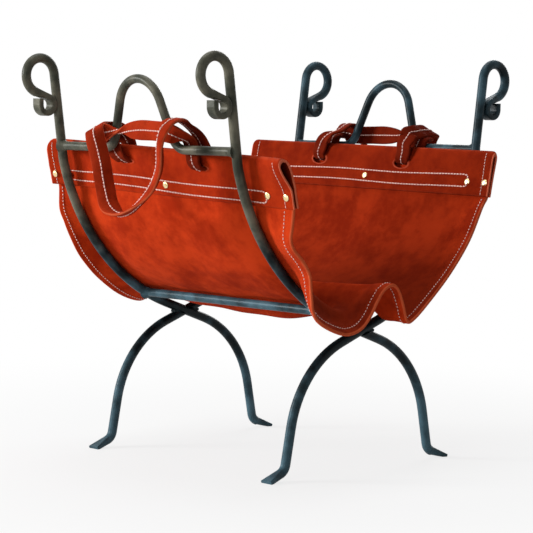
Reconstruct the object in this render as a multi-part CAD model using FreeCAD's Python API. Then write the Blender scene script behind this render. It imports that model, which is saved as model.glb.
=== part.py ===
"""Hearth log rack with a lift-out suede log carrier.

The rack is forged from round bar. At each end two S-shaped bars cross low in the middle: each runs from a
foot on one side, through the crossing, up the other side of the cradle and into a scroll. Top and bottom
rails tie the two ends together, and the middle of each top rail is bent up into a handle. The carrier is one
suede sheet that hangs inside the rack, with a folded, riveted strip over each top edge and a strap handle
threaded through each strip.

Millimetres. X runs along the logs, Y across the rack with the front at -Y, Z up from the floor.
"""

import FreeCAD, Part
import math
import os

from FreeCAD import Vector

# End frames
end_spacing = 330.0
bar = 12.0
notch_fit = 0.1
crossing_slope = 20.0
crossing_run_up = 35.7
crossing_run_down = 36.0
cradle_radius = 279.0
cradle_angle = 55.0
shoulder_radius = 73.0
upright_lean = 7.9
upright_run = 105.3

# Legs and feet
leg_radius = 130.0
leg_slope = 79.0
leg_run = 45.0
foot_radius = 14.0
foot_slope = 20.0
foot_run = 24.0
foot_width = 18.0
foot_thickness = 5.0
foot_edge_round = 1.5
foot_flat_depth = 1.4

# Scrolls
scroll_radius = 22.0
scroll_return = 19.0
curl_radius = 10.5
curl_width = 15.5
curl_thickness = 7.0
curl_edge_round = 2.0
curl_sink = 0.4
tail_run = 8.0

# Rails
rail_bar = 11.0
rail_root = 1.0
top_rail_rise = 12.7
low_rail_angle = 8.2
loop_radius = 40.0
loop_slope = 70.0
loop_flare = 22.0
loop_leg = 48.0
loop_lean = 8.4

# Where a round bar is hammered flat
neck_size = 11.0
neck_round = 4.4
neck_lap = 1.5

# Weld beads
weld_leg = 4.0
weld_flush = 0.5
crossing_weld_height = 3.2
crossing_weld_length = 8.0

# Sling
suede = 3.0
seat_gap = 0.3
sling_left = 216.0
sling_right = 222.5
left_skew_angle = 5.3
right_skew_angle = 2.93
panel_stand_off = 16.5
panel_lean = 12.5
panel_free = 4.0
fold_crest_left = 20.0
fold_crest_right = 36.0
near_valley = 52.0
far_valley = 30.0
frame_grip = 15.0
cradle_lift = 5.0
rail_lift = 0.6
valley_mouth_lift = 1.0
valley_lift = 9.0
span_sag = 14.0
left_end_droop = 20.0
shoulder_out = 192.0
shoulder_drop = 29.0
pinch_out = 158.0
pinch_drop = 31.0
belly_out = 147.0
belly_drop = 56.0
slump_out = 84.0
slump_drop = 35.0
slump_fullness = 6.0
fold_wall_share = 0.55
fold_wall_rise_share = 0.5
mouth_sag_share = 0.5

# Down one side of the sling: shares of the cradle's bend where it is drawn, how far each stands off the bar
# as a share of the cradle lift, and how much of the left end's droop each takes (three more follow below)
cradle_shares = (0.74, 0.6, 0.42, 0.28)
lift_shares = (1.0, 0.75, 0.4, 0.12)
left_droop_shares = (0.7, 0.85, 0.95, 0.9, 0.85, 0.8, 0.75)

# Top bands
band_leather = 2.5
band_depth = 60.0
band_tuck = 24.0
band_overhang = 2.5
band_fit = 0.05
band_crown = 2.0
near_top_left = 406.0
near_top_right = 391.0
far_top_left = 402.0
far_top_right = 396.0
flare_run = 55.0
flare_clear = 2.0
near_left_flare = 14.0
near_right_flare = 28.0

# Rivets
rivet_cap = 9.0
rivet_cap_height = 2.2
rivet_rim = 1.0
rivet_crown = 5.0
rivet_post = 4.0
rivet_back = 8.4
rivet_back_height = 1.2
rivet_depth = 45.0
end_rivet = 7.0
near_left_rivet = 25.0
near_middle_rivet = 13.0
near_right_rivet = 39.0
far_left_rivet = 35.0
far_middle_rivet = -6.0
far_right_rivet = 34.6

# Strap handles
strap_width = 24.0
strap_thickness = 4.0
slot_play = 1.0
slot_height = 7.0
slot_depth = 21.0
near_inner_slot = -54.9
near_outer_slot = 83.5
far_inner_slot = -57.8
far_outer_slot = 96.4
strap_left = -85.0
rail_clear = 0.6
over_rail_gap = 3.8
strip_reach = 19.0
fold_gap = 1.5
lining_gap = 0.7
hinge_reach = 34.5
hinge_gap = 0.3
fold_roll = 0.2
grip_left = -54.0
grip_low = 0.5
grip_right = 83.0
grip_drop = 118.0
grip_tilt_angle = 45.0


def in_plane(origin, across, up):
    """A function that puts a flat drawing's point (u, v) on the plane of two unit vectors at an origin."""
    return lambda u, v: origin + across * u + up * v


def heading_vector(heading):
    """Unit (u, v) of a heading in degrees, counted from +u towards +v."""
    return math.cos(math.radians(heading)), math.sin(math.radians(heading))


def walk(start, heading, moves):
    """Stations (u, v, heading) along a path of runs and tangent bends, one more than there are moves.

    A move is ("run", length) or ("bend", radius, turn in degrees, left turns positive).
    """
    u, v = start
    stations = [(u, v, heading)]
    for move in moves:
        if move[0] == "run":
            du, dv = heading_vector(heading)
            u, v = u + move[1] * du, v + move[1] * dv
        else:
            u, v, heading = around(u, v, heading, move[1], move[2])
        stations.append((u, v, heading))
    return stations


def around(u, v, heading, radius, turn):
    """The station reached from (u, v, heading) by a bend of that radius and turn."""
    side = math.copysign(radius, turn)
    du, dv = heading_vector(heading)
    eu, ev = heading_vector(heading + turn)
    return u + side * (ev - dv), v - side * (eu - du), heading + turn


def round_bar(place, start, heading, moves, diameter):
    """Round bar along a flat path: a cylinder for each run, a ring segment for each bend, in one solid."""
    pieces = []
    normal = (place(1, 0) - place(0, 0)).cross(place(0, 1) - place(0, 0))
    for (u, v, head), move in zip(walk(start, heading, moves), moves):
        du, dv = heading_vector(head)
        along = place(du, dv) - place(0, 0)
        disc = Part.Face(Part.Wire(Part.makeCircle(diameter / 2, place(u, v), along)))
        if move[0] == "run":
            pieces.append(disc.extrude(along * move[1]))
        else:
            side = math.copysign(move[1], move[2])
            centre = place(u - side * dv, v + side * du)
            pieces.append(disc.revolve(centre, normal, move[2]))
    solid = pieces[0].multiFuse(pieces[1:]) if len(pieces) > 1 else pieces[0]
    return solid.removeSplitter()


def rounded_outline(centre, wide, thick, width, thickness, corner):
    """Closed rounded rectangle: width along the unit vector wide, thickness along thick."""
    edges = []
    marks = []
    for a, b in ((1, 1), (-1, 1), (-1, -1), (1, -1)):
        middle = centre + wide * a * (width / 2 - corner) + thick * b * (thickness / 2 - corner)
        first, last = (wide * a, thick * b) if a * b > 0 else (thick * b, wide * a)
        diagonal = (first + last).normalize()
        marks.append((middle + first * corner, middle + diagonal * corner, middle + last * corner))
    for n, (begin, middle, end) in enumerate(marks):
        edges.append(Part.Arc(begin, middle, end).toShape())
        edges.append(Part.LineSegment(end, marks[(n + 1) % 4][0]).toShape())
    return Part.Wire(edges)


def flat_outline(place, station, width, thickness, corner):
    """Rounded outline square across a flat path at a station, its width out of the drawing."""
    u, v, heading = station
    wide = (place(1, 0) - place(0, 0)).cross(place(0, 1) - place(0, 0))
    du, dv = heading_vector(heading + 90)
    return rounded_outline(place(u, v), wide, place(du, dv) - place(0, 0), width, thickness, corner)


def forged_taper(place, start, length, width, thickness, corner):
    """Bar hammered from round to flat along a straight run; it begins a little inside the round bar."""
    neck = walk(start[:2], start[2], [("run", -neck_lap)])[-1]
    tip = walk(start[:2], start[2], [("run", length)])[-1]
    return Part.makeLoft([
        flat_outline(place, neck, neck_size, neck_size, neck_round),
        flat_outline(place, tip, width, thickness, corner),
    ], True, True)


def one_solid(shape):
    """The shape as a single clean solid."""
    return shape.removeSplitter().Solids[0]


def group(shapes):
    """Several separate solids in one node."""
    return Part.makeCompound([solid for shape in shapes for solid in shape.Solids])


# S-bar path, drawn with u across the rack and v up, crossing at u = 0
leg_moves = [
    ("run", crossing_run_down),
    ("bend", leg_radius, leg_slope - crossing_slope),
    ("run", leg_run),
    ("bend", foot_radius, foot_slope - leg_slope),
    ("run", foot_run),
]
leg_heading = 180 + crossing_slope
tip_drop = walk((0, 0), leg_heading, leg_moves)[-1][1]
sole_drop = foot_thickness / 2 * math.cos(math.radians(foot_slope))
crossing_height = sole_drop - foot_flat_depth - tip_drop
cradle_moves = [
    ("run", crossing_run_up),
    ("bend", cradle_radius, cradle_angle),
    ("bend", shoulder_radius, 90 - upright_lean - crossing_slope - cradle_angle),
    ("run", upright_run),
]
cradle = walk((0, crossing_height), crossing_slope, cradle_moves)
upright_foot = cradle[3]
upright_top = cradle[4]
scroll_turn = -(90 - upright_lean + 180 - scroll_return)


def scroll_run_length():
    """Run of the scroll's return that brings the curl's back just against the upright."""
    u, v, heading = around(*upright_top, scroll_radius, scroll_turn)
    du, dv = heading_vector(heading)
    centre = (u - curl_radius * dv, v + curl_radius * du)
    out_u, out_v = heading_vector(upright_top[2] - 90)
    gap = (centre[0] - upright_top[0]) * out_u + (centre[1] - upright_top[1]) * out_v
    wanted = curl_radius + curl_thickness / 2 + bar / 2 - curl_sink
    return (gap - wanted) / -(du * out_u + dv * out_v)


scroll_run = scroll_run_length()
scroll_moves = [("bend", scroll_radius, scroll_turn), ("run", scroll_run)]
curl_turn = 270 - scroll_return


def notch(end, side, outer):
    """Flat-shouldered notch that lets the other bar in at a crossing, as deep as the middle of the bar."""
    x = end * end_spacing / 2
    length = 10 * bar
    width = bar + 2 * notch_fit
    block = Part.makeBox(bar, length, width, Vector(0, -length / 2, -width / 2))
    if (end > 0) != outer:
        block.translate(Vector(-bar, 0, 0))
    block.rotate(Vector(0, 0, 0), Vector(1, 0, 0), -side * crossing_slope)
    block.translate(Vector(x, 0, crossing_height))
    return block


def s_bar(end, side):
    """One S-bar: end is the sign of X of its frame, side the sign of Y of its scroll."""
    x = end * end_spacing / 2
    place = in_plane(Vector(x, 0, 0), Vector(0, side, 0), Vector(0, 0, 1))
    tip = walk((0, crossing_height), leg_heading, leg_moves)
    through = [("run", crossing_run_down + crossing_run_up)]
    middle = round_bar(place, tip[1][:2], crossing_slope, through, bar).cut(notch(end, side, side < 0))
    lower = round_bar(place, tip[1][:2], tip[1][2], leg_moves[1:4], bar)
    upper_moves = cradle_moves[1:] + scroll_moves[:1]
    upper = round_bar(place, cradle[1][:2], cradle[1][2], upper_moves, bar)
    room = 4 * end_spacing
    below_floor = Part.makeBox(room, room, room, Vector(-room / 2, -room / 2, -room))
    foot = forged_taper(place, tip[4], foot_run, foot_width, foot_thickness, foot_edge_round)
    foot = foot.cut(below_floor)
    neck, curl_start = walk(upright_top[:2], upright_top[2], scroll_moves)[1:]
    curl_size = (curl_width, curl_thickness, curl_edge_round)
    taper = forged_taper(place, neck, scroll_run, *curl_size)
    du, dv = heading_vector(curl_start[2])
    centre = place(curl_start[0] - curl_radius * dv, curl_start[1] + curl_radius * du)
    normal = (place(1, 0) - place(0, 0)).cross(place(0, 1) - place(0, 0))
    curl = Part.Face(flat_outline(place, curl_start, *curl_size)).revolve(centre, normal, curl_turn)
    tail_start = around(*curl_start, curl_radius, curl_turn)
    du, dv = heading_vector(tail_start[2])
    along = place(du, dv) - place(0, 0)
    tail = Part.Face(flat_outline(place, tail_start, *curl_size)).extrude(along * tail_run)
    return one_solid(middle.multiFuse([lower, upper, foot, taper, curl, tail]))


bars = {}
for end, end_name in ((-1, "left"), (1, "right")):
    for side, side_name in ((-1, "near"), (1, "far")):
        bars[end_name, side_name] = s_bar(end, side)

# Rails, coped to the end bars
rail_station = walk(upright_foot[:2], upright_foot[2], [("run", top_rail_rise)])[-1]
low_station = around(*cradle[1], cradle_radius, low_rail_angle)
loop_half = (
    loop_radius * math.sin(math.radians(loop_slope))
    + loop_leg * math.cos(math.radians(loop_slope))
    + loop_flare * math.sin(math.radians(loop_slope))
)
rails = {}
for side, side_name in ((-1, "near"), (1, "far")):
    ends = [bars["left", side_name], bars["right", side_name]]
    lean = math.radians(loop_lean)
    top = in_plane(
        Vector(rail_root - end_spacing / 2, side * rail_station[0], rail_station[1]),
        Vector(1, 0, 0),
        Vector(0, side * math.sin(lean), math.cos(lean)),
    )
    rail_run = end_spacing / 2 - rail_root - loop_half
    loop_moves = [
        ("run", rail_run),
        ("bend", loop_flare, loop_slope),
        ("run", loop_leg),
        ("bend", loop_radius, -2 * loop_slope),
        ("run", loop_leg),
        ("bend", loop_flare, loop_slope),
        ("run", rail_run),
    ]
    looped = round_bar(top, (0, 0), 0, loop_moves, rail_bar)
    rails["top", side_name] = one_solid(looped.cut(ends[0]).cut(ends[1]))
    low = in_plane(
        Vector(rail_root - end_spacing / 2, side * low_station[0], low_station[1]),
        Vector(1, 0, 0),
        Vector(0, 0, 1),
    )
    straight = round_bar(low, (0, 0), 0, [("run", end_spacing - 2 * rail_root)], rail_bar)
    rails["bottom", side_name] = one_solid(straight.cut(ends[0]).cut(ends[1]))


def rail_welds(station, side, side_name, rail):
    """A ring fillet of weld metal round each end of a rail, ground flush on the carrier's side."""
    u, v, heading = station
    room = 4 * bar
    flush = Part.makeBox(end_spacing + room, room, room, Vector(-(end_spacing + room) / 2, -room / 2, 0))
    flush.rotate(Vector(0, 0, 0), Vector(1, 0, 0), side * heading)
    in_u, in_v = heading_vector(heading + 90)
    trim = rail_bar / 2 - weld_flush
    flush.translate(Vector(0, side * (u + in_u * trim), v + in_v * trim))
    beads = []
    for end, end_name in ((-1, "left"), (1, "right")):
        root = Vector(end * end_spacing / 2, side * u, v)
        length = bar / 2 + weld_leg
        bead = Part.makeCone(rail_bar / 2 + weld_leg, rail_bar / 2, length, root, Vector(-end, 0, 0))
        beads.append(one_solid(bead.cut(flush).cut(bars[end_name, side_name]).cut(rail)))
    return group(beads)


def crossing_weld(end, end_name):
    """Weld metal in the two narrow corners of a crossing."""
    span = bar / math.sin(math.radians(crossing_slope)) + 2 * weld_leg
    corner = Vector(
        end * end_spacing / 2 - crossing_weld_length / 2,
        -span / 2,
        crossing_height - crossing_weld_height / 2,
    )
    block = Part.makeBox(crossing_weld_length, span, crossing_weld_height, corner)
    return group([block.cut(bars[end_name, "near"]).cut(bars[end_name, "far"])])


# Sling profile, drawn like the bars: stand-off is the distance of the sheet's middle from a bar's middle
seat = bar / 2 + seat_gap + suede / 2
panel_heading = 90 - panel_lean
panel_head = walk(rail_station[:2], rail_station[2] + 90, [("run", panel_stand_off)])[-1]
panel_down = heading_vector(panel_heading + 180)


def panel_point(below):
    """Point of the straight panel a distance below the level of the top rail."""
    return panel_head[0] + below * panel_down[0], panel_head[1] + below * panel_down[1]


def below_head(z):
    """Distance down the panel of a height."""
    return (z - panel_head[1]) / panel_down[1]


def bar_at(u):
    """Station on the middle of a bar's cradle at a distance across from the crossing."""
    first, level = cradle[1][:2]
    if u <= first:
        slope = math.radians(crossing_slope)
        return u, crossing_height + u * math.tan(slope), crossing_slope
    heading = math.degrees(math.asin(math.sin(math.radians(crossing_slope)) + (u - first) / cradle_radius))
    return around(first, level, crossing_slope, cradle_radius, heading - crossing_slope)


def off_bar(station, stand_off):
    """Point square off a bar's middle, on the inside of the cradle."""
    return walk(station[:2], station[2] + 90, [("run", stand_off)])[-1][:2]


def side_points(valley, top, droop, sag):
    """One side of the sling, from its top edge to its valley.

    Droop lets it sink past the bars, and sag lowers its valley between the bottom rails.
    """
    points = [panel_point(top), panel_point(top + band_tuck + panel_free)]
    for share, lift, weight in zip(cradle_shares, lift_shares, left_droop_shares):
        station = around(*cradle[1], cradle_radius, share * cradle_angle)
        points.append(off_bar(station, seat + cradle_lift * lift - droop * weight))
    for station, lift, weight in (
        (low_station, rail_lift, left_droop_shares[4]),
        (bar_at((valley + low_station[0]) / 2), valley_mouth_lift, left_droop_shares[5]),
        (bar_at(valley), valley_lift, left_droop_shares[6]),
    ):
        points.append(off_bar(station, seat + lift - droop * weight))
    for n, share in ((-2, mouth_sag_share), (-1, 1.0)):
        points[n] = (points[n][0], points[n][1] - share * sag)
    return points


def slumped_points(top):
    """The near side at the right end, where the sheet slumps past the frame in a shoulder and a belly."""
    panel = side_points(near_valley, top, 0.0, 0.0)[:2]
    shoulder = panel[1][1] - shoulder_drop
    pinch = shoulder - pinch_drop
    belly = pinch - belly_drop
    slump = belly - slump_drop
    return panel + [
        (shoulder_out, shoulder + slump_fullness / 2),
        ((shoulder_out + pinch_out) / 2 + slump_fullness, (shoulder + pinch) / 2),
        (pinch_out, pinch),
        ((pinch_out + belly_out) / 2 - slump_fullness / 2, (pinch + belly) / 2),
        (belly_out, belly),
        ((belly_out + slump_out) / 2 + slump_fullness, (belly + slump) / 2 - slump_fullness),
        (slump_out, slump),
    ]


def sling_points(crest, tops, droop, sag, slumped):
    """The whole profile: near side, middle fold, far side."""
    near = slumped_points(tops[0]) if slumped else side_points(near_valley, tops[0], droop, sag)
    far = side_points(far_valley, tops[1], 0.0, sag)
    peak = far[-1][1] + sag + crest
    walls = []
    for foot in (near[-1], far[-1]):
        walls.append((fold_wall_share * foot[0], foot[1] + fold_wall_rise_share * (peak - foot[1])))
    return [(-u, v) for u, v in near + walls[:1]] + [(0.0, peak), walls[1]] + far[::-1]


def chain_edges(row):
    """A line, an arc through each three points, and a last line."""
    edges = [Part.LineSegment(row[0], row[1]).toShape()]
    for n in range(1, len(row) - 3, 2):
        edges.append(Part.Arc(row[n], row[n + 1], row[n + 2]).toShape())
    edges.append(Part.LineSegment(row[-2], row[-1]).toShape())
    return edges


def sheet_section(points, x_at):
    """Closed outline of the bent sheet cut across: both faces half a thickness from its middle."""
    faces = []
    last = len(points) - 1
    for sign in (1, -1):
        row = []
        for n, (y, z) in enumerate(points):
            before = points[max(n - 1, 0)]
            after = points[min(n + 1, last)]
            dy, dz = after[0] - before[0], after[1] - before[1]
            shift = sign * suede / 2 / math.hypot(dy, dz)
            row.append(Vector(x_at(y - shift * dz), y - shift * dz, z + shift * dy))
        faces.append(row)
    edges = chain_edges(faces[0])
    edges.append(Part.LineSegment(faces[0][-1], faces[1][-1]).toShape())
    edges += chain_edges(faces[1][::-1])
    edges.append(Part.LineSegment(faces[1][0], faces[0][0]).toShape())
    return Part.Wire(edges)


def left_end(y):
    """X of the sheet's left end, which hangs a little askew."""
    return -sling_left - math.tan(math.radians(left_skew_angle)) * y


def right_end(y):
    """X of the sheet's right end."""
    return sling_right - math.tan(math.radians(right_skew_angle)) * y


# Straight top edges, one to a side: ends along X and the height of the band's top at each
top_edges = {}
for side, side_name, heights in (
    (-1, "near", (near_top_left, near_top_right)),
    (1, "far", (far_top_left, far_top_right)),
):
    y = side * panel_head[0]
    top_edges[side_name] = (left_end(y), right_end(y)) + heights


def band_top(side_name, x):
    """Height of a band's top at x."""
    first, last, high, low = top_edges[side_name]
    return high + (low - high) * (x - first) / (last - first)


def sheet_tops(x):
    """Distances down the two panels of the sheet's own edges, tucked into the bands."""
    tuck = band_depth - band_tuck
    return [below_head(band_top(name, x)) + tuck for name in ("near", "far")]


def make_sling():
    """The sheet: a loft along the rack through its two hanging ends and its seats on the frames."""
    inner = end_spacing / 2 - frame_grip / 2
    outer = end_spacing / 2 + frame_grip / 2
    stations = [(left_end, -sling_left, left_end_droop, 0.0, False)]
    for x, sag in ((-outer, 0.0), (-inner, 0.0), (0.0, span_sag), (inner, 0.0), (outer, 0.0)):
        stations.append((lambda y, x=x: x, x, 0.0, sag, False))
    stations.append((right_end, sling_right, 0.0, 0.0, True))
    outlines = []
    for x_at, x, droop, sag, slumped in stations:
        share = (x + sling_left) / (sling_left + sling_right)
        crest = fold_crest_left + share * (fold_crest_right - fold_crest_left)
        outlines.append(sheet_section(sling_points(crest, sheet_tops(x), droop, sag, slumped), x_at))
    return Part.makeLoft(outlines, True, True)


def panel_frame(side, x, below):
    """Point on the panel's middle, and its unit vectors down the panel and out of the rack."""
    u, v = panel_point(below)
    down = Vector(0, side * panel_down[0], panel_down[1])
    out_u, out_v = heading_vector(panel_heading - 90)
    return Vector(x, side * u, v), down, Vector(0, side * out_u, out_v)


def band_section(side, side_name, x, flare):
    """Upturned U across a band at x; the part above the sheet's edge leans out by the flare in degrees."""
    skirt = band_tuck + flare_clear
    height = band_depth - skirt
    kink, down, out = panel_frame(side, x, below_head(band_top(side_name, x)) + height)
    c, s = heading_vector(flare)
    rise = out * s - down * c
    over = out * c + down * s
    inside = suede / 2 + band_fit
    outside = inside + band_leather
    corners = [
        kink + out * inside + down * skirt,
        kink + out * outside + down * skirt,
        kink + out * outside,
        kink + over * outside + rise * (height - band_crown),
        kink + over * (outside - band_crown) + rise * height,
        kink - over * (outside - band_crown) + rise * height,
        kink - over * outside + rise * (height - band_crown),
        kink - out * outside,
        kink - out * outside + down * skirt,
        kink - out * inside + down * skirt,
        kink - out * inside,
        kink - over * inside + rise * (height - band_leather),
        kink + over * inside + rise * (height - band_leather),
        kink + out * inside,
    ]
    return Part.makePolygon(corners + corners[:1])


def make_band(side, side_name):
    """A strip folded over the sheet's edge; the loose ends of the near one gape away from the rack."""
    first, last = top_edges[side_name][:2]
    flares = (near_left_flare, near_right_flare) if side_name == "near" else (0.0, 0.0)
    stations = (
        (first - band_overhang, flares[0]),
        (first + flare_run, 0.0),
        (last - flare_run, 0.0),
        (last + band_overhang, flares[1]),
    )
    return Part.makeLoft([band_section(side, side_name, x, flare) for x, flare in stations], True, True)


def rivet_places(side_name):
    """X of the five rivets of a band."""
    first, last = top_edges[side_name][:2]
    left, middle, right = near_left_rivet, near_middle_rivet, near_right_rivet
    if side_name == "far":
        left, middle, right = far_left_rivet, far_middle_rivet, far_right_rivet
    return [first + end_rivet, first + left, middle, last - right, last - end_rivet]


def rivet_seats(side, side_name):
    """Point and outward direction of each rivet, on the middle of the panel."""
    seats = []
    for x in rivet_places(side_name):
        point, down, out = panel_frame(side, x, below_head(band_top(side_name, x)) + rivet_depth)
        seats.append((point, out))
    return seats


def rivet_shank(point, out):
    """The round of a rivet's post, long enough to pierce the whole band."""
    reach = suede / 2 + band_fit + band_leather
    return Part.makeCylinder(rivet_post / 2, 2 * reach, point - out * reach, out)


def rivet_cap_solid(point, out):
    """Low-crowned cap standing on the band: a short rim under a blunt cone."""
    base = point + out * (suede / 2 + band_fit + band_leather)
    rim = Part.makeCylinder(rivet_cap / 2, rivet_rim, base, out)
    rise = rivet_cap_height - rivet_rim
    crown = Part.makeCone(rivet_cap / 2, rivet_crown / 2, rise, base + out * rivet_rim, out)
    return one_solid(rim.fuse(crown))


def rivet_post_solid(point, out):
    """Post through the band with its flat back disc inside."""
    reach = suede / 2 + band_fit + band_leather
    back = Part.makeCylinder(rivet_back / 2, rivet_back_height, point - out * reach, out * -1)
    return one_solid(rivet_shank(point, out).fuse(back))


# Strap handles, drawn for the near side: along is X, out is away from the rack's middle plane
def strap_place(side):
    """Puts a near-side point on its side; the far handle is the near one turned half round."""
    return lambda along, out, z: Vector(-side * along, side * out, z)


def plate(place, first, last):
    """Flat strap from one rectangle to another; each is four corners (along, out, z)."""
    wires = []
    for corners in (first, last):
        points = [place(*corner) for corner in corners]
        wires.append(Part.makePolygon(points + points[:1]))
    return Part.makeLoft(wires, True, True)


def level(along, out, z, thickness_out, thickness_z):
    """Rectangle across a strap: thick in z where it runs out over the rail, else thick in out."""
    half_width = strap_width / 2
    half_out = thickness_out / 2
    half_z = thickness_z / 2
    first = [(out - half_out, z - half_z), (out + half_out, z + half_z)]
    left = [(along - half_width, edge_out, edge_z) for edge_out, edge_z in first]
    right = [(along + half_width, edge_out, edge_z) for edge_out, edge_z in first[::-1]]
    return left + right


rail_inner = rail_station[0] - rail_bar / 2
outer_riser = rail_inner - rail_clear - strap_thickness / 2
tongue_z = rail_station[1] + rail_bar / 2 + over_rail_gap + strap_thickness / 2
strip_out = rail_station[0] + strip_reach + strap_thickness / 2
strip_low = tongue_z - strap_thickness / 2
strip_high = strip_low + strap_width
fold_z = strip_high + fold_gap + strap_thickness / 2
hinge_out = rail_station[0] + hinge_reach


def slot_places(side_name):
    """Along-positions of a band's inner and outer strap holes."""
    if side_name == "near":
        return near_inner_slot, near_outer_slot
    return far_inner_slot, far_outer_slot


def slot_seat(side, side_name, along):
    """Point in the middle of a strap hole."""
    x = -side * along
    return panel_frame(side, x, below_head(band_top(side_name, x)) + slot_depth)


def make_strap_root(side, side_name):
    """The stretch of the ring that stays put.

    It has the holes' crossings, the risers, the strip across the steel handle and the folds to the grip.
    """
    place = strap_place(side)
    half = strap_thickness / 2
    pieces = []
    for along, top_along, grip_along in zip(
        slot_places(side_name),
        (strap_left, slot_places(side_name)[1]),
        (grip_left, grip_right),
    ):
        hole = slot_seat(side, side_name, along)[0]
        hole_out, hole_z = abs(hole.y), hole.z
        inner_riser = hole_out - suede / 2 - band_leather - lining_gap - half
        pieces.append(plate(
            place,
            level(along, inner_riser - half, hole_z, 0, strap_thickness),
            level(along, outer_riser + half, hole_z, 0, strap_thickness),
        ))
        pieces.append(plate(
            place,
            level(along, outer_riser, hole_z - half, strap_thickness, 0),
            level(top_along, outer_riser, tongue_z + half, strap_thickness, 0),
        ))
        pieces.append(plate(
            place,
            level(top_along, outer_riser - half, tongue_z, 0, strap_thickness),
            level(top_along, strip_out + half, tongue_z, 0, strap_thickness),
        ))
        pieces.append(plate(
            place,
            level(along, inner_riser, hole_z - half, strap_thickness, 0),
            level(top_along, inner_riser, fold_z + half, strap_thickness, 0),
        ))
        pieces.append(plate(
            place,
            level(top_along, inner_riser - half, fold_z, 0, strap_thickness),
            level(grip_along, hinge_out - half - fold_roll - hinge_gap, fold_z, 0, strap_thickness),
        ))
    first = strap_left - strap_width / 2
    last = slot_places(side_name)[1] + strap_width / 2
    ends = []
    for along in (first, last):
        ends.append([
            (along, strip_out - half, strip_low), (along, strip_out + half, strip_low),
            (along, strip_out + half, strip_high), (along, strip_out - half, strip_high),
        ])
    pieces.append(plate(place, ends[0], ends[1]))
    return one_solid(pieces[0].multiFuse(pieces[1:]))


def make_grip(side):
    """The hanging grip: a ribbon down one leg, round the bottom and up the other.

    Its inner face looks out of the rack at the folds, half aside on the legs and up at the bottom.
    """
    place = strap_place(side)
    half = strap_thickness / 2
    left_span = grip_low - grip_left
    right_span = grip_right - grip_low
    marks = [
        (grip_left, 0.0, 90),
        (grip_left, 0.06, 90),
        (grip_left + 0.10 * left_span, 0.2, grip_tilt_angle),
        (grip_left + 0.22 * left_span, 0.43, grip_tilt_angle),
        (grip_left + 0.40 * left_span, 0.71, grip_tilt_angle),
        (grip_left + 0.63 * left_span, 0.91, 0.6 * grip_tilt_angle),
        (grip_low, 1.0, 0),
        (grip_low + 0.20 * right_span, 0.97, 0.3 * grip_tilt_angle),
        (grip_low + 0.40 * right_span, 0.88, 0.6 * grip_tilt_angle),
        (grip_low + 0.65 * right_span, 0.69, grip_tilt_angle),
        (grip_low + 0.79 * right_span, 0.47, grip_tilt_angle),
        (grip_low + 0.83 * right_span, 0.24, grip_tilt_angle),
        (grip_right, 0.06, 90),
        (grip_right, 0.0, 90),
    ]
    path = [(along, fold_z - share * grip_drop) for along, share, tilt in marks]
    last = len(marks) - 1
    outlines = []
    for n, (along, z) in enumerate(path):
        before = path[max(n - 1, 0)]
        after = path[min(n + 1, last)]
        heading = math.atan2(after[1] - before[1], after[0] - before[0])
        if n < 2:
            heading = -math.pi / 2
        if n > last - 2:
            heading = math.pi / 2
        inward = Vector(-math.sin(heading), 0, math.cos(heading))
        outward = Vector(0, 1, 0)
        tilt = math.radians(marks[n][2])
        face = inward * math.cos(tilt) + outward * math.sin(tilt)
        width = outward * math.cos(tilt) - inward * math.sin(tilt)
        centre = Vector(along, hinge_out, z)
        corners = []
        for a, b in ((1, 1), (-1, 1), (-1, -1), (1, -1)):
            corner = centre + width * a * strap_width / 2 + face * b * half
            corners.append(place(corner.x, corner.y, corner.z))
        outlines.append(Part.makePolygon(corners + corners[:1]))
    ribbon = Part.makeLoft(outlines, True, True)
    rolls = []
    for along in (grip_left, grip_right):
        root = place(along - strap_width / 2, hinge_out, fold_z)
        rolls.append(Part.makeCylinder(half + fold_roll, strap_width, root, place(1, 0, 0)))
    return one_solid(ribbon.multiFuse(rolls))


sling = make_sling()
bands = {}
strap_roots = {}
grips = {}
for side, side_name in ((-1, "near"), (1, "far")):
    band = make_band(side, side_name)
    for along in slot_places(side_name):
        point, down, out = slot_seat(side, side_name, along)
        width = strap_width + 2 * slot_play
        reach = 4 * band_depth
        corner = Vector(point.x - width / 2, point.y - reach / 2, point.z - slot_height / 2)
        band = band.cut(Part.makeBox(width, reach, slot_height, corner))
    for point, out in rivet_seats(side, side_name):
        band = band.cut(rivet_shank(point, out))
        sling = sling.cut(rivet_shank(point, out))
    bands[side_name] = one_solid(band)
    strap_roots[side_name] = make_strap_root(side, side_name)
    grips[side_name] = make_grip(side)
sling = one_solid(sling)

os.makedirs("parts", exist_ok=True)
for (end_name, side_name), solid in bars.items():
    solid.exportStep(f"parts/{end_name}_{side_name}_bar.step")
for (level_name, side_name), solid in rails.items():
    solid.exportStep(f"parts/{side_name}_{level_name}_rail.step")
for end, end_name in ((-1, "left"), (1, "right")):
    crossing_weld(end, end_name).exportStep(f"parts/{end_name}_crossing_weld.step")
sling.exportStep("parts/suede_sling.step")
for side, side_name in ((-1, "near"), (1, "far")):
    welds = rail_welds(rail_station, side, side_name, rails["top", side_name])
    welds.exportStep(f"parts/{side_name}_top_rail_welds.step")
    welds = rail_welds(low_station, side, side_name, rails["bottom", side_name])
    welds.exportStep(f"parts/{side_name}_bottom_rail_welds.step")
    bands[side_name].exportStep(f"parts/{side_name}_top_band.step")
    seats = rivet_seats(side, side_name)
    caps = group([rivet_cap_solid(*seat) for seat in seats])
    caps.exportStep(f"parts/{side_name}_rivet_caps.step")
    posts = group([rivet_post_solid(*seat) for seat in seats])
    posts.exportStep(f"parts/{side_name}_rivet_posts.step")
    strap_roots[side_name].exportStep(f"parts/{side_name}_strap_root.step")
    grips[side_name].exportStep(f"parts/{side_name}_handle_grip.step")
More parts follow.
